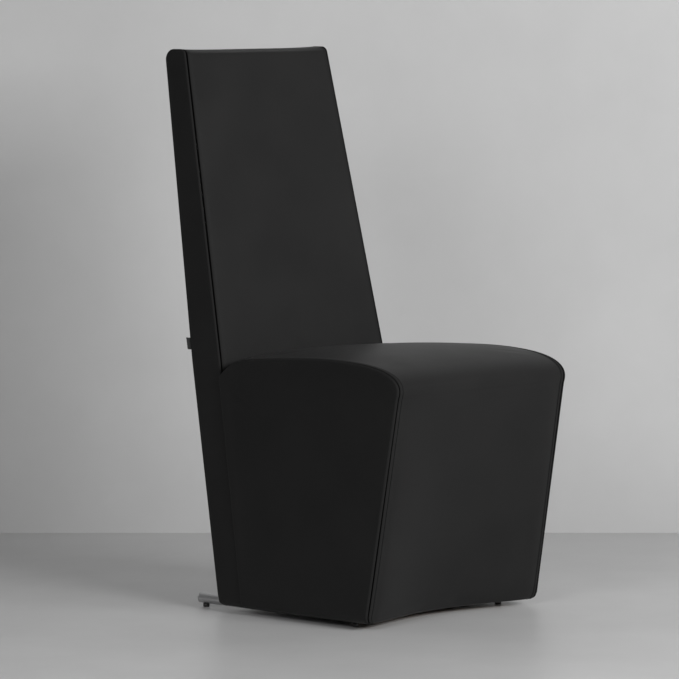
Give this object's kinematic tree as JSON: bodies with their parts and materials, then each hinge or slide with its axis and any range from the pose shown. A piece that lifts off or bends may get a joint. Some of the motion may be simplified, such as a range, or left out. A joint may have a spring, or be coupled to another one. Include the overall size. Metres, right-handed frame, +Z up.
{
  "type": "upholstered high back dining chair",
  "caption": "High back dining chair in smooth black leather: a wedge-shaped seat block without legs, a tall tapered slab back running to the floor, and steel runners with glides.",
  "frame": {"origin": "On the floor, under the middle of the chair's bounding box.", "axes": "+Z up. The sitter faces -Y. +X is the sitter's left, across the chair."},
  "size_m": [0.4846, 0.6246, 1.05],
  "materials": {
    "black_leather": "smooth, matte",
    "black_cloth": "woven",
    "cream_foam": "cut foam",
    "white_wadding": "soft fleece",
    "brown_strap": "woven elastic",
    "plywood": "sanded, unpainted",
    "beech": "sawn, unpainted",
    "hardboard": "pressed, smooth",
    "steel": "brushed, bright",
    "zinc": "zinc plated",
    "black_plastic": "moulded"
  },
  "bodies": {
    "root": {"seat_cover": "black_leather", "seat_side_cover_left": "black_leather", "seat_side_cover_right": "black_leather", "back_front_cover": "black_leather", "back_rear_cover": "black_leather", "back_side_cover_left": "black_leather", "back_side_cover_right": "black_leather", "seam_tab": "black_cloth", "dust_cover": "black_cloth", "seat_foam": "cream_foam", "front_foam": "cream_foam", "back_foam": "cream_foam", "seat_side_padding_left": "white_wadding", "seat_side_padding_right": "white_wadding", "back_side_padding_left": "white_wadding", "back_side_padding_right": "white_wadding", "rear_padding": "white_wadding", "top_padding": "white_wadding", "seat_webbing_lengthwise": "brown_strap", "seat_webbing_crosswise": "brown_strap", "back_webbing": "brown_strap", "seat_side_board_left": "plywood", "seat_side_board_right": "plywood", "base_board": "plywood", "front_panel": "plywood", "back_upright_left": "plywood", "back_upright_right": "plywood", "seat_front_rail": "beech", "seat_rear_rail": "beech", "base_front_rail": "beech", "base_rear_rail": "beech", "corner_blocks": "beech", "back_top_rail": "beech", "back_middle_rail": "beech", "back_seat_rail": "beech", "back_foot_rail": "beech", "rear_panel": "hardboard", "runner_left": "steel", "runner_right": "steel", "runner_plugs": "steel", "seat_frame_screws": "zinc", "back_frame_screws": "zinc", "joint_bolts": "zinc", "joint_nuts": "zinc", "runner_bolts": "zinc", "runner_nuts": "zinc", "glides": "black_plastic"}
  },
  "joints": []
}
